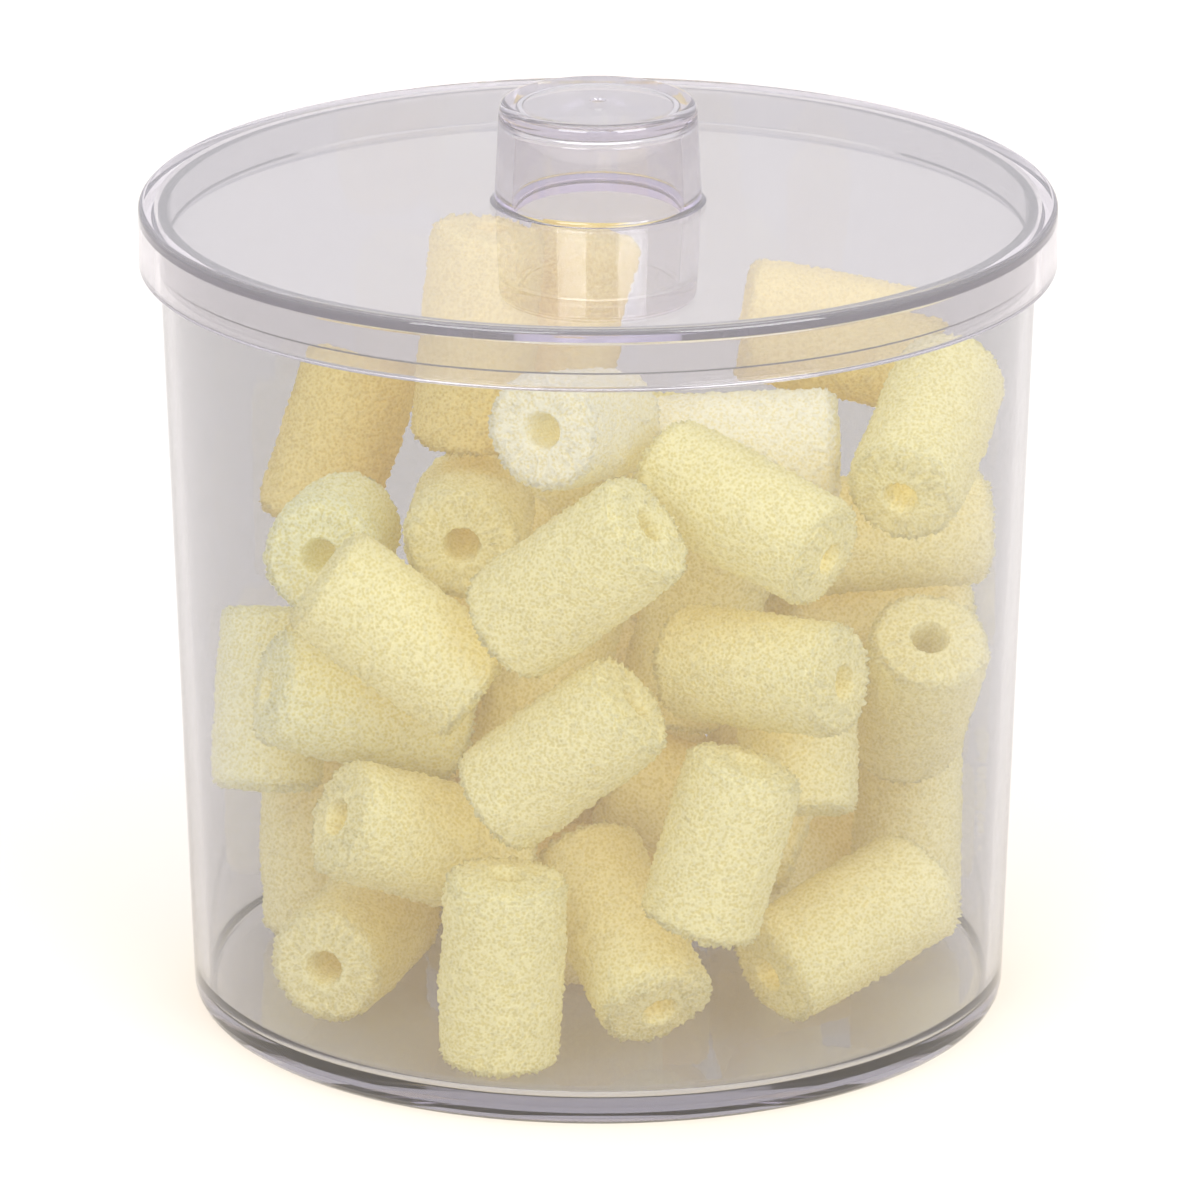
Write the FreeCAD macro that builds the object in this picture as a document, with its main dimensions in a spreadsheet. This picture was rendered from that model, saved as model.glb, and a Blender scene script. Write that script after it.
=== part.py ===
import FreeCAD, Part
import math
import os
import random
import Sketcher
from FreeCAD import Placement, Rotation, Vector

# Clear round jar with a lift-off lid, full of short foam tubes. Millimetres, +Z up, and the
# origin is the centre of the jar's underside. The jar and the lid are one moulding each.

os.makedirs("parts", exist_ok=True)
doc = FreeCAD.newDocument("sundry_jar")


# ---------------------------------------------------------------- driving dimensions

SIZES = (
    ("jar_height", 96.85, "underside to the top of the rim"),
    ("base_radius", 48.2, "outside of the wall, carried down to the underside"),
    ("rim_radius", 51.7, "outside of the wall at the rim"),
    ("floor_thick", 3.4, "jar floor"),
    ("base_wall", 1.7, "jar wall just above the floor"),
    ("rim_wall", 1.2, "jar wall at the rim, above the step"),
    ("step_drop", 3.85, "rim down to the small step inside the mouth"),
    ("step_width", 0.25, "how far the wall below the step stands in"),
    ("base_round", 3.0, "rounding under the jar"),
    ("floor_round", 2.0, "rounding where the wall meets the floor"),
    ("rim_round", 0.4, "rounding of the rim's two edges"),
    ("seat_gap", 0.05, "rim to the underside of the lid"),
    ("side_gap", 0.4, "rim to the inside of the lid's skirt"),
    ("plate_thick", 1.8, "lid plate"),
    ("skirt_wall", 1.9, "lid skirt"),
    ("skirt_drop", 5.6, "underside of the plate to the foot of the skirt"),
    ("skirt_round", 0.4, "rounding of the skirt's foot"),
    ("lid_round", 0.7, "rounding of the lid's top edge"),
    ("knob_rise", 12.0, "top of the plate to the top of the knob"),
    ("knob_foot_radius", 12.2, "knob where it meets the plate"),
    ("knob_top_radius", 11.6, "knob at its top"),
    ("knob_wall", 2.0, "wall of the hollow knob"),
    ("knob_cap", 2.3, "thickness over the knob's hollow"),
    ("knob_round", 1.0, "rounding of the knob's top edge"),
    ("knob_fillet", 0.6, "fillet where the knob meets the plate"),
    ("hollow_round", 1.0, "rounding inside the knob's hollow"),
    ("gate_radius", 1.0, "small moulding mark on the knob"),
    ("gate_sink", 0.25, "depth of that mark"),
    ("foam_radius", 7.6, "outside of a foam tube"),
    ("foam_bore", 2.6, "radius of the hole along a foam tube"),
    ("foam_length", 25.0, "usual length of a foam tube"),
    ("foam_gap", 0.25, "room left round each foam tube"),
)

WORKED_OUT = (
    ("plate_under", "=jar_height + seat_gap"),
    ("plate_top", "=plate_under + plate_thick"),
    ("skirt_foot", "=plate_under - skirt_drop"),
    ("skirt_inside", "=rim_radius + side_gap"),
    ("lid_radius", "=skirt_inside + skirt_wall"),
    ("knob_top", "=plate_top + knob_rise"),
    ("hollow_top", "=knob_top - knob_cap"),
    ("hollow_foot_radius", "=knob_foot_radius - knob_wall"),
    ("hollow_top_radius", "=knob_top_radius - knob_wall"),
    ("floor_radius", "=base_radius + (rim_radius - base_radius) * floor_thick / jar_height - base_wall"),
    ("mouth_radius", "=rim_radius - rim_wall"),
    ("step_height", "=jar_height - step_drop"),
    ("below_step_radius", "=mouth_radius - step_width"),
    ("below_step_height", "=step_height - step_width"),
)

sheet = doc.addObject("Spreadsheet::Sheet", "Sizes")
for row, (name, number, meaning) in enumerate(SIZES, start=1):
    sheet.set(f"A{row}", meaning)
    sheet.set(f"B{row}", str(number))
    sheet.setAlias(f"B{row}", name)
for row, (name, formula) in enumerate(WORKED_OUT, start=len(SIZES) + 1):
    sheet.set(f"A{row}", "worked out")
    sheet.set(f"B{row}", formula)
    sheet.setAlias(f"B{row}", name)
doc.recompute()


VALUES = {row[0]: float(sheet.get(row[0])) for row in SIZES + WORKED_OUT}


def size(name):
    """The value of one named cell, in millimetres."""
    return VALUES[name]


# ---------------------------------------------------------------- turned outlines

def add_outline(body, name, corners):
    """Sketch on the XZ plane through named corners, each (name, radius cell, height cell).

    A cell of None means zero, so that corner lies on the sketch's own axis."""
    sketch = body.newObject("Sketcher::SketchObject", name)
    plane = [item for item in body.Origin.OriginFeatures if item.Role == "XZ_Plane"][0]
    sketch.AttachmentSupport = [(plane, "")]
    sketch.MapMode = "FlatFace"

    def place(corner):
        radius = size(corner[1]) if corner[1] else 0.0
        height = size(corner[2]) if corner[2] else 0.0
        return Vector(radius, height, 0)

    count = len(corners)
    for index, corner in enumerate(corners):
        following = corners[(index + 1) % count]
        sketch.addGeometry(Part.LineSegment(place(corner), place(following)), False)
    for index, (label, radius_cell, height_cell) in enumerate(corners):
        sketch.addConstraint(Sketcher.Constraint("Coincident", (index - 1) % count, 2, index, 1))
        bind_corner(sketch, index, "DistanceX", label + "_radius", radius_cell)
        bind_corner(sketch, index, "DistanceY", label + "_height", height_cell)
    return sketch


def bind_corner(sketch, index, kind, label, cell):
    """Ties one coordinate of a corner to its cell, or puts the corner on an axis."""
    if cell is None:
        axis = -2 if kind == "DistanceX" else -1
        sketch.addConstraint(Sketcher.Constraint("PointOnObject", index, 1, axis))
        return
    number = sketch.addConstraint(Sketcher.Constraint(kind, -1, 1, index, 1, size(cell)))
    sketch.renameConstraint(number, label)
    sketch.setExpression("Constraints." + label, "Sizes." + cell)


def turn_outline(body, name, corners):
    """Outline turned all the way round the upright axis."""
    sketch = add_outline(body, name + "_outline", corners)
    turned = body.newObject("PartDesign::Revolution", name + "_turned")
    turned.Profile = sketch
    turned.ReferenceAxis = (sketch, ["V_Axis"])
    turned.Angle = 360
    sketch.Visibility = False
    doc.recompute()
    return turned


def edge_circle(shape, radius, height):
    """Name of the level circular edge of this radius and height."""
    near = 1e-4
    for index, edge in enumerate(shape.Edges, start=1):
        curve = edge.Curve
        if isinstance(curve, Part.Circle) and abs(curve.Radius - radius) < near:
            if abs(curve.Center.z - height) < near and abs(curve.Axis.z) > 1 - near:
                return f"Edge{index}"
    raise ValueError(f"no edge of radius {radius} at height {height}")


def round_edges(body, name, round_cell, circles):
    """Fillet on level circular edges, each (radius cell, height cell)."""
    base = body.Tip
    edges = []
    for radius_cell, height_cell in circles:
        height = size(height_cell) if height_cell else 0.0
        edges.append(edge_circle(base.Shape, size(radius_cell), height))
    fillet = body.newObject("PartDesign::Fillet", name)
    fillet.Base = (base, edges)
    fillet.setExpression("Radius", "Sizes." + round_cell)
    doc.recompute()
    body.Tip = fillet


# ---------------------------------------------------------------- jar, one moulding

def make_jar():
    body = doc.addObject("PartDesign::Body", "JarBody")
    body.Label = "jar_body"
    turn_outline(body, "jar", (
        ("under_centre", None, None),
        ("under_edge", "base_radius", None),
        ("rim_outside", "rim_radius", "jar_height"),
        ("rim_inside", "mouth_radius", "jar_height"),
        ("step_top", "mouth_radius", "step_height"),
        ("step_foot", "below_step_radius", "below_step_height"),
        ("floor_edge", "floor_radius", "floor_thick"),
        ("floor_centre", None, "floor_thick"),
    ))
    round_edges(body, "under_rounding", "base_round", (("base_radius", None),))
    round_edges(body, "floor_rounding", "floor_round", (("floor_radius", "floor_thick"),))
    rim = (("rim_radius", "jar_height"), ("mouth_radius", "jar_height"))
    round_edges(body, "rim_rounding", "rim_round", rim)
    return body


# ---------------------------------------------------------------- lid and hollow knob, one moulding

def make_lid():
    body = doc.addObject("PartDesign::Body", "Lid")
    body.Label = "lid"
    turn_outline(body, "lid", (
        ("hollow_centre", None, "hollow_top"),
        ("hollow_top", "hollow_top_radius", "hollow_top"),
        ("hollow_foot", "hollow_foot_radius", "plate_under"),
        ("plate_corner", "skirt_inside", "plate_under"),
        ("skirt_inside_foot", "skirt_inside", "skirt_foot"),
        ("skirt_outside_foot", "lid_radius", "skirt_foot"),
        ("plate_edge", "lid_radius", "plate_top"),
        ("knob_foot", "knob_foot_radius", "plate_top"),
        ("knob_edge", "knob_top_radius", "knob_top"),
        ("knob_centre", None, "knob_top"),
    ))
    round_edges(body, "knob_rounding", "knob_round", (("knob_top_radius", "knob_top"),))
    round_edges(body, "knob_foot_fillet", "knob_fillet", (("knob_foot_radius", "plate_top"),))
    round_edges(body, "hollow_rounding", "hollow_round", (("hollow_top_radius", "hollow_top"),))
    round_edges(body, "lid_edge_rounding", "lid_round", (("lid_radius", "plate_top"),))
    foot = (("lid_radius", "skirt_foot"), ("skirt_inside", "skirt_foot"))
    round_edges(body, "skirt_foot_rounding", "skirt_round", foot)
    add_gate_mark(body)
    return body


def add_gate_mark(body):
    """Shallow round recess at the centre of the knob's top."""
    sketch = body.newObject("Sketcher::SketchObject", "gate_outline")
    plane = [item for item in body.Origin.OriginFeatures if item.Role == "XY_Plane"][0]
    sketch.AttachmentSupport = [(plane, "")]
    sketch.MapMode = "FlatFace"
    sketch.setExpression("AttachmentOffset.Base.z", "Sizes.knob_top")
    sketch.addGeometry(Part.Circle(Vector(), Vector(0, 0, 1), size("gate_radius")), False)
    sketch.addConstraint(Sketcher.Constraint("Coincident", 0, 3, -1, 1))
    number = sketch.addConstraint(Sketcher.Constraint("Radius", 0, size("gate_radius")))
    sketch.renameConstraint(number, "gate_radius")
    sketch.setExpression("Constraints.gate_radius", "Sizes.gate_radius")
    sketch.Visibility = False
    mark = body.newObject("PartDesign::Pocket", "gate_mark")
    mark.Profile = sketch
    mark.setExpression("Length", "Sizes.gate_sink")
    doc.recompute()
    body.Tip = mark


# ---------------------------------------------------------------- how the foam tubes lie

# The tubes that show through the wall, laid one by one in a jar of LAID_INSIDE inner radius with
# tubes of LAID_TUBE radius and length. Each is (x, y, height of its middle, lean from upright,
# heading of its upper end from +X towards +Y, how much longer it was cut than usual).
LAID_INSIDE = 46.6
LAID_TUBE = (7.6, 25.0)
LONGEST_CUT = 1.0
LAID = (
    (-28, -12, 11, 85, -109, 0),
    (-12, -36, 16, 3, 46, -0.5),
    (3, -26, 16, 53, 122, 0),
    (14, -34, 31, 14, 24, -3),
    (29, -17, 14, 70, 36, 0),
    (-4, -34, 42, 49, -11, -2),
    (-18, -20, 29, 79, -152, 0),
    (-25, -15, 40, 74, -169, 0),
    (-24, -27, 54, 59, 179, -1),
    (-31, -11, 60, 80, -107, -5),
    (-14, -7, 60, 83, -94, 0),
    (-31, 9, 67, 26, 43, -1),
    (-14, -4, 82, 10, -14, 1),
    (-3, 12, 78, 17, 46, 0),
    (-2, -26, 79, 78, -110, -1),
    (17, -13, 71, 87, 1, 0),
    (29, 14, 77, 80, 177, 0),
    (38, -10, 73, 69, 66, 0),
    (36, 6, 56, 87, -155, 0),
    (34, -2, 40, 56, -69, 0),
    (26, -15, 38, 16, 52, -5),
    (-39, -3, 38, 18, 80, -2.5),
    (-34, 12, 16, 3, 90, 0),
    (20, -28, 49, 78, -31, -2),
    (-2, -31, 62, 50, -18, 0),
    (16, -27, 68, 69, 147, 0),
    (39, 9, 18, 7, 116, 0),
    (-9, -14, 43, 21, 20, 0),
    (12, 8, 65, 90, 0, 0),
    (39, 20, 41, 71, 6, 0),
    (14, -8, 47, 28, -9, 0),
)
TUBE_COUNT = 48

# How a place is chosen for each tube packed in among them: the number of places tried, the
# room round it beyond which more doesn't count, and how much a millimetre of height costs.
TRIES = 400
ROOM_ENOUGH = 3.0
LOW_FIRST = 0.05

# A laid tube gives way this much against 1 for the tubes packed in among them.
LAID_YIELDING = 0.3

# Seed of the random places, and the room from the wall and floor to the middle of such a tube,
# beyond its radius.
PACKING_SEED = 7
PACKED_CLEAR = 1.4

# The top of the tubes inside the heap: its height at the jar's axis, its slope down towards the
# back, how far it dips on the left and rises on the right, and where across each starts and over
# what width.
HEAP_HEIGHT = 72
HEAP_SLOPE = 0.325
LEFT_DIP, LEFT_START, LEFT_WIDTH = 14, -6, 12
RIGHT_RISE, RIGHT_START, RIGHT_WIDTH = 10, 26, 6

# The front of the tubes inside the heap, in the middle and at the sides, and how far from the
# axis the middle goes.
FRONT_MIDDLE, FRONT_SIDES, MIDDLE_WIDTH = -8, 4, 12

UP = Vector(0, 0, 1)

# Shorter than this a direction is no direction.
NO_LENGTH = 1e-3

# In a jar or with tubes of another size the heap spreads with the jar's inside and stacks up
# so that the tubes stay as closely packed.
SPREAD = size("floor_radius") / LAID_INSIDE
BULK = (size("foam_radius") / LAID_TUBE[0]) ** 2 * size("foam_length") / LAID_TUBE[1]
STACK = BULK / SPREAD ** 2


class Tube:
    """One foam tube's place while the heap settles."""

    def __init__(self, centre, axis, length):
        self.centre = Vector(centre)
        self.axis = Vector(axis).normalize()
        self.half = length / 2
        self.radius = size("foam_radius")
        self.length = length
        self.laid = None
        self.yielding = 1.0
        self.touches = 0

    def reach(self, way):
        """How far the tube stretches from its centre along a unit direction."""
        along = way.dot(self.axis)
        return self.half * abs(along) + self.radius * math.sqrt(max(0.0, 1 - along * along))

    def farthest(self, way):
        """The tube's point that lies farthest along a direction."""
        along = way.dot(self.axis)
        side = way - self.axis * along
        point = Vector(self.centre)
        if abs(along) > NO_LENGTH:
            point += self.axis * math.copysign(self.half, along)
        if side.Length > NO_LENGTH:
            point += side * (self.radius / side.Length)
        return point

    def shove(self, point, move):
        """Shifts and turns the tube as a rigid body, so that the point goes by about this move."""
        distance = move.Length
        if distance < 1e-9:
            return
        way = move / distance
        lever = (point - self.centre).cross(way)
        inertia = (3 * self.radius ** 2 + 4 * self.half ** 2) / 12
        share = distance / (1 + lever.dot(lever) / inertia)
        self.centre += way * share
        self.axis = (self.axis + (lever * (share / inertia)).cross(self.axis)).normalize()


# The search for the direction that separates two tubes best turns it by these steps, in radians:
# the first from scratch or from a known direction, the last, and each as a share of the one before.
TURN_FROM_SCRATCH = 0.3
TURN_FROM_KNOWN = 0.1
TURN_LAST = 0.004
TURN_FINER = 0.4

# A direction along no tube or axis in particular.
ASKEW = Vector(0.31, 0.52, 0.79)


def gap_along(first, second, way):
    """Clear distance between two tubes, seen along one direction."""
    return (second.centre - first.centre).dot(way) - first.reach(way) - second.reach(way)


def widest_gap(first, second, known=None):
    """The direction that separates two tubes best, and the gap along it."""
    between = second.centre - first.centre
    ways = [between, first.axis, -first.axis, second.axis, -second.axis]
    cross = first.axis.cross(second.axis)
    ways += [cross, -cross]
    ways += [between - tube.axis * between.dot(tube.axis) for tube in (first, second)]
    ways = [Vector(way).normalize() for way in ways if way.Length > NO_LENGTH]
    if known is not None:
        ways.insert(0, known)
    best = max(ways, key=lambda way: gap_along(first, second, way))
    gap = gap_along(first, second, best)
    step = TURN_FROM_SCRATCH if known is None else TURN_FROM_KNOWN
    while step > TURN_LAST:
        aside = best.cross(ASKEW)
        if aside.Length < 0.1:
            aside = best.cross(Vector(1, 0, 0))
        aside.normalize()
        across = best.cross(aside)
        found = False
        for turn in (aside, -aside, across, -across):
            way = (best + turn * step).normalize()
            trial = gap_along(first, second, way)
            if trial > gap + 1e-6:
                gap, best, found = trial, way, True
        if not found:
            step *= TURN_FINER
    return gap, best


def inside_radius(height):
    """Inner radius of the jar at a height, with the rounding at the floor."""
    floor = size("floor_thick")
    slope = (size("below_step_radius") - size("floor_radius")) / (size("below_step_height") - floor)
    radius = size("floor_radius") + slope * (height - floor)
    corner = size("floor_round")
    above = max(height - floor, 0.0)
    if above < corner:
        radius -= corner - math.sqrt(corner ** 2 - (corner - above) ** 2)
    return radius


# A tube stays this many times the usual room below the lid's plate.
UNDER_LID = 1.4


def keep_in_jar(tube):
    """Moves a tube back off the wall, the floor and the lid."""
    room = size("foam_gap")
    floor = size("floor_thick") + room
    ceiling = size("plate_under") - UNDER_LID * room
    for end in (tube.axis * tube.half, tube.axis * -tube.half):
        for point in outermost(tube, end) + [extreme(tube, end, -UP), extreme(tube, end, UP)]:
            over = math.hypot(point.x, point.y) - inside_radius(point.z) + room
            if over > -TOUCHING:
                tube.touches += 1
            if over > 0:
                tube.shove(point, Vector(-point.x, -point.y, 0).normalize() * over)
        low = extreme(tube, end, -UP)
        if low.z < floor + TOUCHING:
            tube.touches += 1
        if low.z < floor:
            tube.shove(low, UP * (floor - low.z))
        high = extreme(tube, end, UP)
        if high.z > ceiling:
            tube.shove(high, UP * (ceiling - high.z))


def extreme(tube, end, way):
    """Point of one end's rim that lies farthest along a direction."""
    side = way - tube.axis * way.dot(tube.axis)
    if side.Length < NO_LENGTH:
        return tube.centre + end
    return tube.centre + end + side * (tube.radius / side.Length)


def outermost(tube, end):
    """The points of one end's rim, on either side, that lie farthest from the jar's axis."""
    aside = UP.cross(tube.centre + end)
    points = []
    for start in (aside, -aside):
        point = extreme(tube, end, start)
        for _ in range(4):
            point = extreme(tube, end, Vector(point.x, point.y, 0))
        points.append(point)
    return points


# The heap is held at its front to back place more loosely than across and upwards.
DEPTH = Vector(0, 0.951, -0.309)
LOOSE = 0.1

# Tubes this near, beyond the room left round each, rest on each other.
TOUCHING = 0.4

# A tube that stands above the heap's top goes down by this share of the excess in each sweep.
EASED_DOWN = 0.3

# The separating directions are looked for from scratch once in this many sweeps.
AFRESH = 10

# Two tubes whose middles are farther apart than this can't touch.
NEIGHBOURS = math.hypot(size("foam_length") + LONGEST_CUT, 2 * size("foam_radius")) + 2 * TOUCHING


def settle(tubes, sweeps, fall, hold, sink):
    """Pushes the tubes apart and off the jar until they lie clear of each other.

    Every sweep drops each tube by fall, which fades out, draws a laid tube back to where it was
    laid by the share hold, and lowers by sink a tube that touches nothing."""
    room = size("foam_gap")
    known = {}
    for sweep in range(sweeps):
        fresh = sweep % AFRESH == 0
        for tube in tubes:
            tube.centre -= UP * (fall * (1 - sweep / sweeps))
            if sweep > 0 and tube.touches == 0:
                tube.centre -= UP * sink
            tube.touches = 0
            if tube.laid:
                home = tube.laid[0] - tube.centre
                depth = DEPTH * home.dot(DEPTH)
                tube.centre += (home - depth) * hold + depth * (hold * LOOSE)
                tube.axis = (tube.axis + (tube.laid[1] - tube.axis) * hold).normalize()
        for number, second in enumerate(tubes):
            for other in range(number):
                first = tubes[other]
                if (first.centre - second.centre).Length > NEIGHBOURS:
                    continue
                pair = (number, other)
                gap, way = widest_gap(first, second, None if fresh else known.get(pair))
                known[pair] = way
                if gap < room + TOUCHING:
                    first.touches += 1
                    second.touches += 1
                if gap < room:
                    part_tubes(first, second, way, room - gap)
        for tube in tubes:
            over = tube.centre.z + tube.reach(UP) - heap_top(tube.centre)
            if over > 0 and not tube.laid:
                tube.centre -= UP * (EASED_DOWN * over)
            keep_in_jar(tube)


def part_tubes(first, second, way, distance):
    """Shoves two tubes apart along a direction, the more yielding one further."""
    middle = (first.farthest(way) + second.farthest(-way)) * 0.5
    share = first.yielding / (first.yielding + second.yielding)
    first.shove(middle, way * (-distance * share))
    second.shove(middle, way * (distance * (1 - share)))


def heap_top(place):
    """Height that the tubes inside the heap stay below, lower towards the back and the left."""
    across, back = place.x / SPREAD, HEAP_SLOPE * place.y / SPREAD
    left = min(max((LEFT_START - across) / LEFT_WIDTH, 0.0), 1.0)
    right = min(max((across - RIGHT_START) / RIGHT_WIDTH, 0.0), 1.0)
    return STACK * (HEAP_HEIGHT - back - LEFT_DIP * left + RIGHT_RISE * right)


def laid_tubes():
    """The tubes laid by hand."""
    tubes = []
    for x, y, height, lean, heading, longer in LAID:
        flat = math.sin(math.radians(lean))
        turn = math.radians(heading)
        axis = Vector(flat * math.cos(turn), flat * math.sin(turn), math.cos(math.radians(lean)))
        centre = Vector(x * SPREAD, y * SPREAD, height * STACK)
        tube = Tube(centre, axis, size("foam_length") + longer)
        tube.laid = (centre, Vector(tube.axis))
        tubes.append(tube)
    return tubes


def hidden_tube(tubes, chance):
    """The lowest and roomiest of many random places for one more tube inside the heap."""
    floor = size("floor_thick")
    clear = size("foam_radius") + PACKED_CLEAR
    deep = size("plate_under") - floor
    best, best_score = None, -math.inf
    for _ in range(TRIES):
        height = floor + clear + chance.random() * (deep - 2 * clear)
        out = (inside_radius(height) - clear) * math.sqrt(chance.random())
        turn = 2 * math.pi * chance.random()
        axis = Vector(chance.gauss(0, 1), chance.gauss(0, 1), chance.gauss(0, 1))
        centre = Vector(out * math.cos(turn), out * math.sin(turn), height)
        tube = Tube(centre, axis, size("foam_length"))
        if height + tube.reach(UP) > heap_top(centre) or centre.y < front_limit(centre):
            continue
        room = ROOM_ENOUGH
        for other in tubes:
            between = other.centre - centre
            if between.Length < NEIGHBOURS:
                way = between / between.Length
                room = min(room, gap_along(tube, other, way))
        score = room - LOW_FIRST * height
        if score > best_score:
            best, best_score = tube, score
    return best


def front_limit(place):
    """The tubes inside the heap start behind this."""
    return SPREAD * (FRONT_MIDDLE if abs(place.x) < MIDDLE_WIDTH * SPREAD else FRONT_SIDES)


# How the laid tubes settle alone, and then the whole heap: sweeps, fall, hold and sink, as
# settle takes them.
LAID_STAGE = (60, 0, 0.02, 0)
HEAP_STAGES = (
    (150, 0, 0.06, 0),
    (250, 0.04, 0.05, 0),
    (150, 0, 0, 0.15),
    (60, 0, 0, 0),
)


# Whatever still lies nearer than the least gap once the heap has settled is eased apart, in up
# to so many sweeps. A tube's rims are tried at so many points each against the jar.
LEAST_GAP = 0.02
EASING_SWEEPS = 300
RIM_POINTS = 24


def rim_points(tube):
    """Points all round the rims of both ends."""
    aside = tube.axis.cross(ASKEW).normalize()
    across = tube.axis.cross(aside)
    points = []
    for step in range(RIM_POINTS):
        turn = 2 * math.pi * step / RIM_POINTS
        out = (aside * math.cos(turn) + across * math.sin(turn)) * tube.radius
        points += [tube.centre + tube.axis * tube.half + out, tube.centre - tube.axis * tube.half + out]
    return points


def ease_off_jar(tube):
    """Moves a tube's rims off the wall and the floor; true if any were too near."""
    moved = False
    for point in rim_points(tube):
        over = math.hypot(point.x, point.y) - inside_radius(point.z) + LEAST_GAP
        if over > 0:
            tube.shove(point, Vector(-point.x, -point.y, 0).normalize() * (over + LEAST_GAP))
            moved = True
        low = size("floor_thick") + LEAST_GAP - point.z
        if low > 0:
            tube.shove(point, UP * (low + LEAST_GAP))
            moved = True
    return moved


def ease_clear(tubes):
    """Eases apart what still lies too near, sweep by sweep, until all of it lies clear."""
    for _ in range(EASING_SWEEPS):
        moved = False
        for number, second in enumerate(tubes):
            for first in tubes[:number]:
                if (first.centre - second.centre).Length > NEIGHBOURS:
                    continue
                gap, way = widest_gap(first, second)
                if gap < LEAST_GAP:
                    part_tubes(first, second, way, 2 * LEAST_GAP - gap)
                    moved = True
        for tube in tubes:
            moved = ease_off_jar(tube) or moved
        if not moved:
            return


def heap_of_tubes():
    """All the tubes, settled: first the laid ones, then the rest packed in among them."""
    tubes = laid_tubes()
    settle(tubes, *LAID_STAGE)
    chance = random.Random(PACKING_SEED)
    for tube in tubes:
        tube.yielding = LAID_YIELDING
    while len(tubes) < TUBE_COUNT:
        tubes.append(hidden_tube(tubes, chance))
    for stage in HEAP_STAGES:
        settle(tubes, *stage)
    ease_clear(tubes)
    return tubes


# ---------------------------------------------------------------- foam tubes, one piece each

def make_foam_tube(number, tube):
    """Outer cylinder less its bore, as long as this tube was cut, laid where it settled."""
    outside = doc.addObject("Part::Cylinder", f"TubeOutside{number:02d}")
    outside.setExpression("Radius", "Sizes.foam_radius")
    bore = doc.addObject("Part::Cylinder", f"TubeBore{number:02d}")
    bore.setExpression("Radius", "Sizes.foam_bore")
    longer = tube.length - size("foam_length")
    for part in (outside, bore):
        part.setExpression("Height", f"Sizes.foam_length + {longer:g}")
    cut = doc.addObject("Part::Cut", f"FoamTube{number:02d}")
    cut.Base = outside
    cut.Tool = bore
    cut.Label = f"foam_tube_{number:02d}"
    foot = tube.centre - tube.axis * tube.half
    cut.Placement = Placement(foot, Rotation(UP, tube.axis))
    return cut


# ---------------------------------------------------------------- build, check and write

pieces = [make_jar(), make_lid()]
pieces += [make_foam_tube(number, tube) for number, tube in enumerate(heap_of_tubes(), start=1)]
doc.recompute()

for item in doc.Objects:
    if "Invalid" in item.State or "Error" in item.State:
        raise RuntimeError(f"{item.Label} did not rebuild: {item.State}")

for piece in pieces:
    shape = piece.Shape
    if shape.isNull() or not shape.isValid() or len(shape.Solids) != 1:
        raise RuntimeError(f"{piece.Label} is not one valid solid")
    shape.exportStep(f"parts/{piece.Label}.step")
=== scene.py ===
import math
import random
import bmesh
import bpy
import numpy as np
from mathutils import Matrix, Vector, noise


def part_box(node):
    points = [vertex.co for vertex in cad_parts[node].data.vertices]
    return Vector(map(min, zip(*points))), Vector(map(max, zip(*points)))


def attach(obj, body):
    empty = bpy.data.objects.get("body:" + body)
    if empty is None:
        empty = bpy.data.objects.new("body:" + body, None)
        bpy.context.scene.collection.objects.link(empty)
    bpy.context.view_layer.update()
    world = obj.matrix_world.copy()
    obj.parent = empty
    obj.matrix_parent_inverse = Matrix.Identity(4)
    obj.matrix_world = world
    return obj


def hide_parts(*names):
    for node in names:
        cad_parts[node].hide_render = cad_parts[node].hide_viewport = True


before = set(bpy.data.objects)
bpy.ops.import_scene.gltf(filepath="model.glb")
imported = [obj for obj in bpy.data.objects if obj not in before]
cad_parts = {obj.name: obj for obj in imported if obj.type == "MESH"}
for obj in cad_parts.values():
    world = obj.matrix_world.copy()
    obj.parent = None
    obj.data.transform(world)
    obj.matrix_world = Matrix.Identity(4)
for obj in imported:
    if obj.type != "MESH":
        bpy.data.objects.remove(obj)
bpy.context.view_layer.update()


# Studio. The jar stands on a large round table, matt and pale, in an even pale room. The table's faint
# warm glow is painted light, standing in for warm light bounced from the foam onto the table under and
# around the jar.
# Two soft boxes stand in front of it and one hangs over it, and a long lens looks a little down.
# Light is followed through many faces, because it turns often inside the clear plastic.
scene = bpy.context.scene
scene.view_settings.view_transform = "Standard"
scene.cycles.transparent_max_bounces = 16
scene.cycles.transmission_bounces = 24
scene.cycles.max_bounces = 24
scene.cycles.diffuse_bounces = 3
scene.cycles.glossy_bounces = 6
scene.cycles.use_light_tree = False

CAMERA_BACK = 1.3446
CAMERA_UP = 0.4853
CAMERA_DOWN = math.radians(17.97)
LENS = 357.5
SENSOR = 36
LENS_SHIFT = 0.0016

camera = bpy.data.objects.new("camera", bpy.data.cameras.new("camera"))
camera.data.lens = LENS
camera.data.sensor_width = SENSOR
camera.data.shift_x = LENS_SHIFT
camera.location = (0, -CAMERA_BACK, CAMERA_UP)
camera.rotation_euler = (math.pi / 2 - CAMERA_DOWN, 0, 0)
scene.collection.objects.link(camera)
scene.camera = camera

# Each soft box: its name, its place, its width and height in metres, and its watts.
SOFT_BOXES = (
    ("soft_box_left", (-0.75, -1.25, 1.05), 1.0, 1.0, 16),
    ("soft_box_right", (0.95, -1.1, 0.95), 1.0, 1.0, 18.3),
    ("soft_box_top", (0.0, 0.2, 1.6), 1.4, 1.2, 9.4),
)
MIDDLE_OF_JAR = Vector((0, 0, 0.05))


def soft_box(name, place, width, height, power):
    """A soft box that faces the middle of the jar."""
    light = bpy.data.objects.new(name, bpy.data.lights.new(name, "AREA"))
    light.data.shape = "RECTANGLE"
    light.data.size = width
    light.data.size_y = height
    light.data.energy = power
    light.location = place
    aim = MIDDLE_OF_JAR - Vector(place)
    light.rotation_euler = aim.to_track_quat("-Z", "Y").to_euler()
    scene.collection.objects.link(light)


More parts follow.
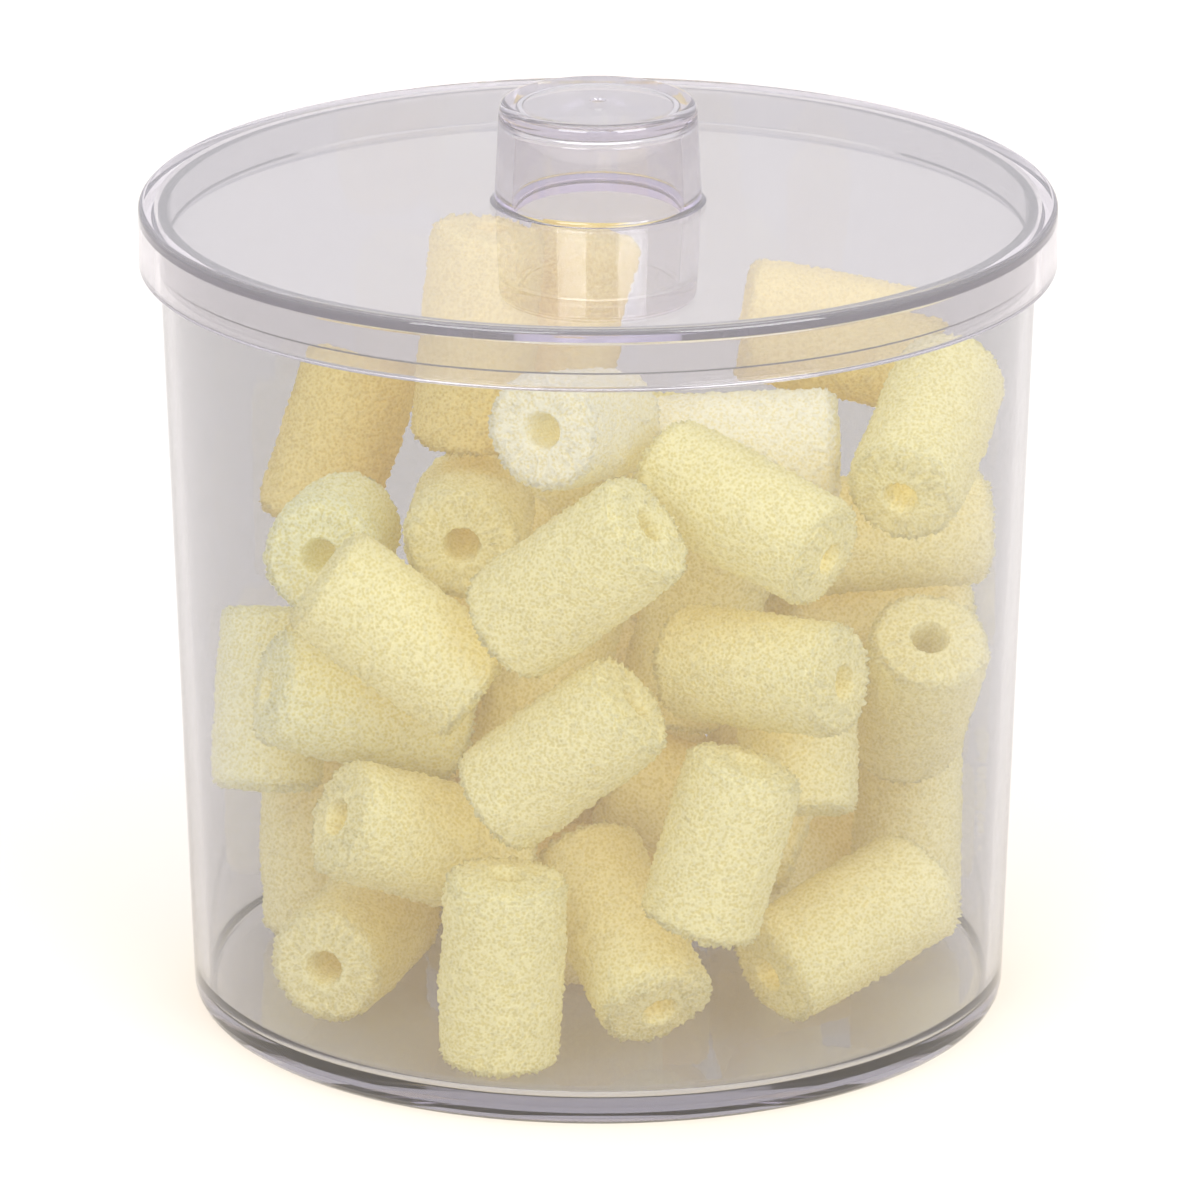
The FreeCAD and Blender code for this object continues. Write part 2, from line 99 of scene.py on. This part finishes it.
for soft_box_row in SOFT_BOXES:
    soft_box(*soft_box_row)

ROOM_COLOUR = (0.97, 0.96, 1.0, 1)
ROOM_STRENGTH = 0.90

room = bpy.data.worlds.new("room")
room.use_nodes = True
background = room.node_tree.nodes["Background"]
background.inputs["Color"].default_value = ROOM_COLOUR
background.inputs["Strength"].default_value = ROOM_STRENGTH
scene.world = room

MM = 0.001
TABLE_RADIUS = 5.0
TABLE_STEPS = 64
TABLE_BELOW = 0.1 * MM
TABLE_COLOUR = (0.645, 0.64, 0.645, 1)
TABLE_ROUGHNESS = 0.9
# Painted light: the table's warm glow stands in for warm light bounced from the foam onto the table
# under the jar.
PAINTED_BOUNCE_GLOW_COLOUR = (1.0, 0.74, 0.42, 1)
PAINTED_BOUNCE_GLOW = 0.16


def table_material():
    """Matt pale sheet with a faint warm painted glow, standing in for warm light bounced from the
    foam.
    """
    material = bpy.data.materials.new("table_painted_glow")
    material.use_nodes = True
    shader = material.node_tree.nodes["Principled BSDF"]
    shader.inputs["Base Color"].default_value = TABLE_COLOUR
    shader.inputs["Roughness"].default_value = TABLE_ROUGHNESS
    shader.inputs["Emission Color"].default_value = PAINTED_BOUNCE_GLOW_COLOUR
    shader.inputs["Emission Strength"].default_value = PAINTED_BOUNCE_GLOW
    material.cycles.emission_sampling = "NONE"
    return material


disc = bmesh.new()
bmesh.ops.create_circle(disc, cap_ends=True, segments=TABLE_STEPS, radius=TABLE_RADIUS)
bmesh.ops.translate(disc, verts=disc.verts[:], vec=(0, 0, -TABLE_BELOW))
table_mesh = bpy.data.meshes.new("table")
disc.to_mesh(table_mesh)
disc.free()
table_top = bpy.data.objects.new("table_top", table_mesh)
table_top.data.materials.append(table_material())
scene.collection.objects.link(table_top)


# Jar. One injection moulding in polished clear polystyrene, faintly lavender where it is looked
# through edge on. Its wall tapers, its floor is thick, its foot is rounded, and inside the mouth
# is a small step, above which the wall is a little thinner.
_, jar_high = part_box("jar_body")
JAR_HEIGHT = round(jar_high.z / MM, 2)
JAR_FOOT_RADIUS = 48.2
JAR_FOOT_ROUNDING = 3.0
JAR_RIM_RADIUS = 51.7
RIM_WALL = 1.2
RIM_ROUNDING = 0.4
MOUTH_RADIUS = JAR_RIM_RADIUS - RIM_WALL
STEP_DROP = 3.85
STEP_WIDTH = 0.25
STEP_TOP = JAR_HEIGHT - STEP_DROP
BELOW_STEP_RADIUS = MOUTH_RADIUS - STEP_WIDTH
BELOW_STEP_HEIGHT = STEP_TOP - STEP_WIDTH
FLOOR_HEIGHT = 3.4
FLOOR_RADIUS = 46.62
FLOOR_ROUNDING = 2.0

# Sizes and corners are in millimetres. Each corner is a radius, a height and a rounding.
JAR_OUTLINE = (
    (0, 0, 0),
    (JAR_FOOT_RADIUS, 0, JAR_FOOT_ROUNDING),
    (JAR_RIM_RADIUS, JAR_HEIGHT, RIM_ROUNDING),
    (MOUTH_RADIUS, JAR_HEIGHT, RIM_ROUNDING),
    (MOUTH_RADIUS, STEP_TOP, 0),
    (BELOW_STEP_RADIUS, BELOW_STEP_HEIGHT, 0),
    (FLOOR_RADIUS, FLOOR_HEIGHT, FLOOR_ROUNDING),
    (0, FLOOR_HEIGHT, 0),
)

TURN_STEPS = 192
ROUNDING_STEPS = 6
SHARP_CORNER = math.radians(35)

# A loop of edges this near each corner keeps flat faces flat when they are shaded smooth. A side of
# the outline that is no longer than a short one goes without.
SUPPORT = 0.02 * MM
SHORT_SIDE = 0.6 * MM
MERGE_WITHIN = 0.001 * MM


def turned(name, outline):
    """An outline of corners in millimetres, rounded and turned about the upright axis."""
    ring = bmesh.new()
    points = [ring.verts.new((radius * MM, 0, height * MM)) for radius, height, _ in outline]
    for first, second in zip(points, points[1:]):
        ring.edges.new((first, second))
    for point, (_, _, rounding) in zip(points, outline):
        if rounding:
            bmesh.ops.bevel(ring, geom=[point], offset=rounding * MM, affect="VERTICES",
                            segments=ROUNDING_STEPS, profile=0.5, material=-1)
    for side in ring.edges[:]:
        if side.calc_length() > SHORT_SIDE:
            for end in side.verts[:]:
                bmesh.utils.edge_split(side, end, SUPPORT / side.calc_length())
    bmesh.ops.spin(ring, geom=ring.verts[:] + ring.edges[:], cent=(0, 0, 0), axis=(0, 0, 1),
                   angle=math.tau, steps=TURN_STEPS, use_merge=True, dvec=(0, 0, 0))
    bmesh.ops.remove_doubles(ring, verts=ring.verts[:], dist=MERGE_WITHIN)
    bmesh.ops.recalc_face_normals(ring, faces=ring.faces[:])
    mesh = bpy.data.meshes.new(name)
    ring.to_mesh(mesh)
    ring.free()
    mesh.shade_smooth()
    mesh.set_sharp_from_angle(angle=SHARP_CORNER)
    piece = bpy.data.objects.new(name, mesh)
    scene.collection.objects.link(piece)
    return piece


POLISH = 0.01
PLASTIC_IOR = 1.59
PASSES_UNBENT = (0.94, 0.94, 0.94, 1)


def clear_plastic(name, passes_and_painted_shade, edge_colour, edge_depth, haze):
    """Clear plastic: how much a wall lets through, partly its own slight loss and mostly painted
    shade, its tint edge on and how deep, and its share of haze.

    Light that goes to or comes from a matt surface goes through the wall unbent."""
    material = bpy.data.materials.new(name)
    material.use_nodes = True
    nodes = material.node_tree.nodes
    links = material.node_tree.links
    shader = nodes["Principled BSDF"]
    # Painted shade: this base colour darkens all that is seen through each wall, more than the
    # plastic's own slight loss would.
    shader.inputs["Base Color"].default_value = (*passes_and_painted_shade, 1)
    shader.inputs["Roughness"].default_value = POLISH
    shader.inputs["IOR"].default_value = PLASTIC_IOR
    shader.inputs["Transmission Weight"].default_value = 1 - haze
    tint = nodes.new("ShaderNodeVolumeAbsorption")
    tint.inputs["Color"].default_value = (*edge_colour, 1)
    tint.inputs["Density"].default_value = edge_depth
    output = nodes["Material Output"]
    links.new(tint.outputs["Volume"], output.inputs["Volume"])
    rays = nodes.new("ShaderNodeLightPath")
    unbent = nodes.new("ShaderNodeBsdfTransparent")
    unbent.inputs["Color"].default_value = PASSES_UNBENT
    surface = shader.outputs["BSDF"]
    for ray in ("Is Shadow Ray", "Is Diffuse Ray"):
        mix = nodes.new("ShaderNodeMixShader")
        links.new(rays.outputs[ray], mix.inputs["Fac"])
        links.new(surface, mix.inputs[1])
        links.new(unbent.outputs["BSDF"], mix.inputs[2])
        surface = mix.outputs["Shader"]
    links.new(surface, output.inputs["Surface"])
    return material


# What the jar's wall lets through is partly the plastic's own slight loss and mostly painted shade,
# which darkens all seen through the jar as if the table behind and under it lay in shade.
JAR_PASSES_AND_PAINTED_SHADE = (0.64, 0.64, 0.65)
JAR_EDGE_COLOUR = (0.52, 0.47, 0.60)
JAR_EDGE_DEPTH = 10
JAR_HAZE = 0.03

jar_plastic = clear_plastic("clear_jar_plastic", JAR_PASSES_AND_PAINTED_SHADE, JAR_EDGE_COLOUR, JAR_EDGE_DEPTH, JAR_HAZE)
jar = turned("clear_jar", JAR_OUTLINE)
jar.data.materials.append(jar_plastic)
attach(jar, "jar")
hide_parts("jar_body")


# Lid. One moulding in the same plastic, a little hazier and more lavender, that rests loose on the
# jar's rim: a flat plate, a short skirt round the rim, and a hollow knob that is open to the jar
# and has a small round moulding mark on top.
lid_low, lid_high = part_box("lid")
LID_RADIUS = round(lid_high.x / MM, 2)
LID_ROUNDING = 0.7
SKIRT_WALL = 1.9
SKIRT_INSIDE = LID_RADIUS - SKIRT_WALL
SKIRT_FOOT = round(lid_low.z / MM, 2)
SKIRT_ROUNDING = 0.4
KNOB_TOP = round(lid_high.z / MM, 2)
KNOB_RISE = 12.0
KNOB_FOOT_RADIUS = 12.2
KNOB_TOP_RADIUS = 11.6
KNOB_ROUNDING = 1.0
KNOB_FILLET = 0.6
KNOB_WALL = 2.0
KNOB_CAP = 2.3
PLATE_THICK = 1.8
PLATE_TOP = KNOB_TOP - KNOB_RISE
PLATE_UNDER = PLATE_TOP - PLATE_THICK
HOLLOW_TOP = KNOB_TOP - KNOB_CAP
HOLLOW_ROUNDING = 1.0
MARK_RADIUS = 1.0
MARK_FLOOR_RADIUS = 0.9
MARK_DEPTH = 0.25

LID_OUTLINE = (
    (0, HOLLOW_TOP, 0),
    (KNOB_TOP_RADIUS - KNOB_WALL, HOLLOW_TOP, HOLLOW_ROUNDING),
    (KNOB_FOOT_RADIUS - KNOB_WALL, PLATE_UNDER, 0),
    (SKIRT_INSIDE, PLATE_UNDER, 0),
    (SKIRT_INSIDE, SKIRT_FOOT, SKIRT_ROUNDING),
    (LID_RADIUS, SKIRT_FOOT, SKIRT_ROUNDING),
    (LID_RADIUS, PLATE_TOP, LID_ROUNDING),
    (KNOB_FOOT_RADIUS, PLATE_TOP, KNOB_FILLET),
    (KNOB_TOP_RADIUS, KNOB_TOP, KNOB_ROUNDING),
    (MARK_RADIUS, KNOB_TOP, 0),
    (MARK_FLOOR_RADIUS, KNOB_TOP - MARK_DEPTH, 0),
    (0, KNOB_TOP - MARK_DEPTH, 0),
)

# What the lid lets through is partly the plastic's own slight loss and mostly painted shade, which
# darkens all seen through it as if the table behind the jar lay in shade.
LID_PASSES_AND_PAINTED_SHADE = (0.81, 0.795, 0.80)
LID_EDGE_COLOUR = (0.80, 0.74, 0.98)
LID_EDGE_DEPTH = 26
LID_HAZE = 0.06

lid_plastic = clear_plastic("clear_lid_plastic", LID_PASSES_AND_PAINTED_SHADE, LID_EDGE_COLOUR, LID_EDGE_DEPTH, LID_HAZE)
lid = turned("clear_lid", LID_OUTLINE)
lid.data.materials.append(lid_plastic)
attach(lid, "lid")
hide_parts("lid")


# Foam tubes. Each is cut from a stick of soft yellow open-cell foam with a hole along it, so it is
# a fine net of strands all over, ragged at its outline, and rounded, squeezed and torn at its ends.
# They lie loose in the jar, a few of them paler, greener or more golden than the rest.
NET_PER_METRE = 2300
NET_CONTRAST = 2.6
NET_BUMP = 0.3
NET_BUMP_HEIGHT = 0.4 * MM
FOAM_ROUGHNESS = 0.6
FOAM_SPECULAR = 0.15
THROUGH = 0.35
OPEN_CELLS = (0.80, 0.71, 0.50, 1)


def foam(name, strand_colour, pore_painted_shade):
    """Open-cell foam: light strands over pores darkened with painted shade, with light let through
    between them.
    """
    material = bpy.data.materials.new(name)
    material.use_nodes = True
    nodes = material.node_tree.nodes
    links = material.node_tree.links
    where = nodes.new("ShaderNodeTexCoord")
    cells = nodes.new("ShaderNodeTexVoronoi")
    cells.inputs["Scale"].default_value = NET_PER_METRE
    links.new(where.outputs["Object"], cells.inputs["Vector"])
    depth = nodes.new("ShaderNodeAttribute")
    depth.attribute_name = "shade_depth"
    # Painted shade: the deeper a place lies and the nearer a cell's middle, the more the net darkens
    # it towards the pore colour.
    net = nodes.new("ShaderNodeMath")
    net.operation = "MULTIPLY_ADD"
    net.inputs[1].default_value = -NET_CONTRAST
    links.new(cells.outputs["Distance"], net.inputs[0])
    links.new(depth.outputs["Fac"], net.inputs[2])
    ramp = nodes.new("ShaderNodeValToRGB")
    ramp.color_ramp.interpolation = "EASE"
    ramp.color_ramp.elements[0].color = (*strand_colour, 1)
    ramp.color_ramp.elements[1].color = (*pore_painted_shade, 1)
    links.new(net.outputs[0], ramp.inputs["Fac"])
    bump = nodes.new("ShaderNodeBump")
    bump.inputs["Strength"].default_value = NET_BUMP
    bump.inputs["Distance"].default_value = NET_BUMP_HEIGHT
    links.new(cells.outputs["Distance"], bump.inputs["Height"])
    shader = nodes["Principled BSDF"]
    shader.inputs["Roughness"].default_value = FOAM_ROUGHNESS
    shader.inputs["Specular IOR Level"].default_value = FOAM_SPECULAR
    links.new(ramp.outputs["Color"], shader.inputs["Base Color"])
    links.new(bump.outputs["Normal"], shader.inputs["Normal"])
    through = nodes.new("ShaderNodeBsdfTranslucent")
    links.new(ramp.outputs["Color"], through.inputs["Color"])
    body = nodes.new("ShaderNodeMixShader")
    body.inputs["Fac"].default_value = THROUGH
    links.new(shader.outputs["BSDF"], body.inputs[1])
    links.new(through.outputs["BSDF"], body.inputs[2])
    rays = nodes.new("ShaderNodeLightPath")
    open_cells = nodes.new("ShaderNodeBsdfTransparent")
    open_cells.inputs["Color"].default_value = OPEN_CELLS
    mix = nodes.new("ShaderNodeMixShader")
    links.new(rays.outputs["Is Shadow Ray"], mix.inputs["Fac"])
    links.new(body.outputs["Shader"], mix.inputs[1])
    links.new(open_cells.outputs["BSDF"], mix.inputs[2])
    links.new(mix.outputs["Shader"], nodes["Material Output"].inputs["Surface"])
    return material


TO_A_MICRON = 6


def tube_place(node):
    """Where a CAD tube lies: a matrix that turns +Z along it, its length, radius and bore."""
    points = np.array([vert.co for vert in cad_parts[node].data.vertices])
    points = np.unique(points.round(TO_A_MICRON), axis=0)
    middle = points.mean(0)
    _, ways = np.linalg.eigh(np.cov((points - middle).T))
    axis = ways[:, 2]
    along = points @ axis
    centre = middle + axis * ((along.max() + along.min()) / 2 - middle @ axis)
    aside = (points - centre) - np.outer((points - centre) @ axis, axis)
    distance = np.linalg.norm(aside, axis=1)
    turn = Vector((0, 0, 1)).rotation_difference(Vector(axis)).to_matrix().to_4x4()
    place = Matrix.Translation(Vector(centre)) @ turn
    return place, along.max() - along.min(), distance.max(), distance.min()


def tube_blank(bore, radius, half, parts):
    """A plain tube about +Z, its faces divided around, along outside and in, and across."""
    around, along, along_bore, across = parts
    wall = bmesh.new()
    corners = ((bore, -half), (radius, -half), (radius, half), (bore, half))
    points = [wall.verts.new((aside, 0, up)) for aside, up in corners]
    sides = [wall.edges.new((points[k], points[(k + 1) % 4])) for k in range(4)]
    for side, count in zip(sides, (across, along, across, along_bore)):
        bmesh.ops.subdivide_edges(wall, edges=[side], cuts=count - 1)
    bmesh.ops.spin(wall, geom=wall.verts[:] + wall.edges[:], cent=(0, 0, 0), axis=(0, 0, 1),
                   angle=math.tau, steps=around, use_merge=True, dvec=(0, 0, 0))
    bmesh.ops.remove_doubles(wall, verts=wall.verts[:], dist=MERGE_WITHIN)
    bmesh.ops.recalc_face_normals(wall, faces=wall.faces[:])
    wall.normal_update()
    return wall


END_ROUNDING = 2.0 * MM
MOUTH_ROUNDING = 1.1 * MM
NARROWER_END = 0.15 * MM
SQUEEZE = 0.45 * MM


def rounded(outward, inward, rounding):
    """How far a point this near both faces of a corner goes in to round the corner."""
    a = max(0.0, rounding - outward)
    b = max(0.0, rounding - inward)
    over = math.hypot(a, b) - rounding
    if over <= 0:
        return 0.0, 0.0
    share = over / (over + rounding)
    return a * share, b * share


def soften(wall, bore, radius, half, heading):
    """Rounds a tube's corners, narrows its ends and squeezes it along one heading."""
    for vert in wall.verts:
        aside = math.hypot(vert.co.x, vert.co.y)
        end = half - abs(vert.co.z)
        in_side, in_end = rounded(radius - aside, end, END_ROUNDING)
        in_bore, in_mouth = rounded(aside - bore, end, MOUTH_ROUNDING)
        narrower = NARROWER_END * (vert.co.z / half) ** 2 * (aside - bore) / (radius - bore)
        turn = math.atan2(vert.co.y, vert.co.x) - heading
        squeezed = SQUEEZE * math.cos(turn) ** 2 * aside / radius
        outward = Vector((vert.co.x, vert.co.y, 0)) / aside
        upward = Vector((0, 0, math.copysign(1, vert.co.z)))
        vert.co += outward * (in_bore - in_side - narrower - squeezed) - upward * (in_end + in_mouth)
    wall.normal_update()


# The cells' size and depth, the height of the strands, of which few stand fully proud, and the
# broad lumps' size and height.
CELL = 0.8 * MM
CELL_EDGE = 2.2
CELL_DEPTH = 0.12 * MM
STRAND = 0.44 * MM
FEW_PROUD = 3
LUMP = 6 * MM
LUMP_HEIGHT = 0.28 * MM

# This near its ends a tube is torn deeper on the outside, by up to so many strands. This near its
# bore it is smoother by so many.
TORN_END = 2.5 * MM
TORN = 1.3
SMOOTH_BORE = 1.5 * MM
SMOOTHER = 0.6

# How deep the net counts a place as lying, for its painted shade: in general, more in a cell, and less
# where it is proud.
NET_DEPTH = 1.65
CELL_DEEPER = 0.30
PROUD_SHALLOWER = 0.5

# How far the noise shifts from one tube to the next.
NEXT_TUBE = Vector((3.1, 1.7, 0.9))


def roughen(wall, bore, radius, half, index):
    """Sinks a tube's surface between its strands, and notes how deep it lies, for the net's painted
    shade.
    """
    shade_depth = wall.verts.layers.float.new("shade_depth")
    chance = random.Random(index)
    shift = NEXT_TUBE * index
    for vert in wall.verts:
        near = noise.voronoi(vert.co / CELL + shift)[0]
        pore = min(1.0, max(0.0, (near[1] - near[0]) * CELL_EDGE))
        proud = chance.random() ** FEW_PROUD
        lump = noise.noise(vert.co / LUMP + shift)
        aside = math.hypot(vert.co.x, vert.co.y)
        torn = TORN * max(0.0, 1 - (half - abs(vert.co.z)) / TORN_END) * (aside / radius) ** 2
        if aside < bore + SMOOTH_BORE:
            torn = -SMOOTHER
        vert[shade_depth] = NET_DEPTH + CELL_DEEPER * pore - PROUD_SHALLOWER * proud
        sunk = CELL_DEPTH * pore + STRAND * (1 + torn) * (1 - proud) + LUMP_HEIGHT * (1 + lump)
        vert.co -= vert.normal * sunk
    wall.normal_update()


STRAND_CLEAR = 0.03 * MM
WALL_TAPER = (BELOW_STEP_RADIUS - FLOOR_RADIUS) / (BELOW_STEP_HEIGHT - FLOOR_HEIGHT)


def keep_off_jar(vert):
    """Draws a strand back that would reach into the jar's wall or floor."""
    floor = FLOOR_HEIGHT * MM
    corner = FLOOR_ROUNDING * MM
    above = max(vert.co.z - floor, 0.0)
    widest = FLOOR_RADIUS * MM + WALL_TAPER * above - STRAND_CLEAR
    if above < corner:
        widest -= corner - math.sqrt(corner ** 2 - (corner - above) ** 2)
    out = math.hypot(vert.co.x, vert.co.y)
    if out > widest:
        vert.co.x *= widest / out
        vert.co.y *= widest / out
    vert.co.z = max(vert.co.z, floor + STRAND_CLEAR)


# Before it is roughened a tube is this much wider outside and in its bore, and longer at each end,
# than its CAD tube.
WIDER = 0.12 * MM
WIDER_BORE = -1.1 * MM
LONGER = 0.1 * MM

# Faces around a tube, along it outside, along its bore and across its ends. The first tubes, which
# lie in front, have finer ones than the rest.
FRONT_TUBES = 31
FRONT_PARTS = (116, 66, 12, 9)
HIDDEN_PARTS = (84, 48, 8, 7)

# How far the heading of the squeeze turns from one tube to the next, in radians, and how much of
# the roughened surface shows in the shading.
SQUEEZE_TURN = 2.4
RELIEF = 0.35


def foam_tube(node, index, material):
    """One foam tube in the place of its CAD tube."""
    place, length, radius, bore = tube_place(node)
    radius += WIDER
    bore += WIDER_BORE
    half = length / 2 + LONGER
    wall = tube_blank(bore, radius, half, FRONT_PARTS if index < FRONT_TUBES else HIDDEN_PARTS)
    soften(wall, bore, radius, half, SQUEEZE_TURN * index)
    smooth_normals = [Vector(vert.normal) for vert in wall.verts]
    roughen(wall, bore, radius, half, index)
    turn = place.to_3x3()
    normals = []
    for smooth, vert in zip(smooth_normals, wall.verts):
        normals.append(turn @ smooth.lerp(vert.normal, RELIEF).normalized())
    bmesh.ops.transform(wall, matrix=place, verts=wall.verts[:])
    for vert in wall.verts:
        keep_off_jar(vert)
    name = "soft_" + node
    mesh = bpy.data.meshes.new(name)
    wall.to_mesh(mesh)
    wall.free()
    mesh.shade_smooth()
    mesh.normals_split_custom_set_from_vertices(normals)
    piece = bpy.data.objects.new(name, mesh)
    scene.collection.objects.link(piece)
    piece.data.materials.append(material)
    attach(piece, "jar")
    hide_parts(node)


# Each tint: its strand colour, and its pore colour, which is painted shade.
yellow = foam("yellow_foam", (1.0, 0.96, 0.55), (0.86, 0.78, 0.34))
golden = foam("golden_foam", (0.94, 0.82, 0.33), (0.80, 0.66, 0.20))
pale = foam("pale_foam", (1.0, 0.99, 0.80), (0.95, 0.88, 0.55))
greenish = foam("greenish_foam", (0.98, 0.98, 0.64), (0.86, 0.80, 0.36))

# The tubes of another tint, by number.
TINTS = {
    8: greenish, 10: greenish, 22: greenish,
    12: golden, 13: golden, 14: golden, 17: golden,
    15: pale, 16: pale,
}

tube_nodes = sorted(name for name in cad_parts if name.startswith("foam_tube_"))
for index, node in enumerate(tube_nodes):
    foam_tube(node, index, TINTS.get(index + 1, yellow))
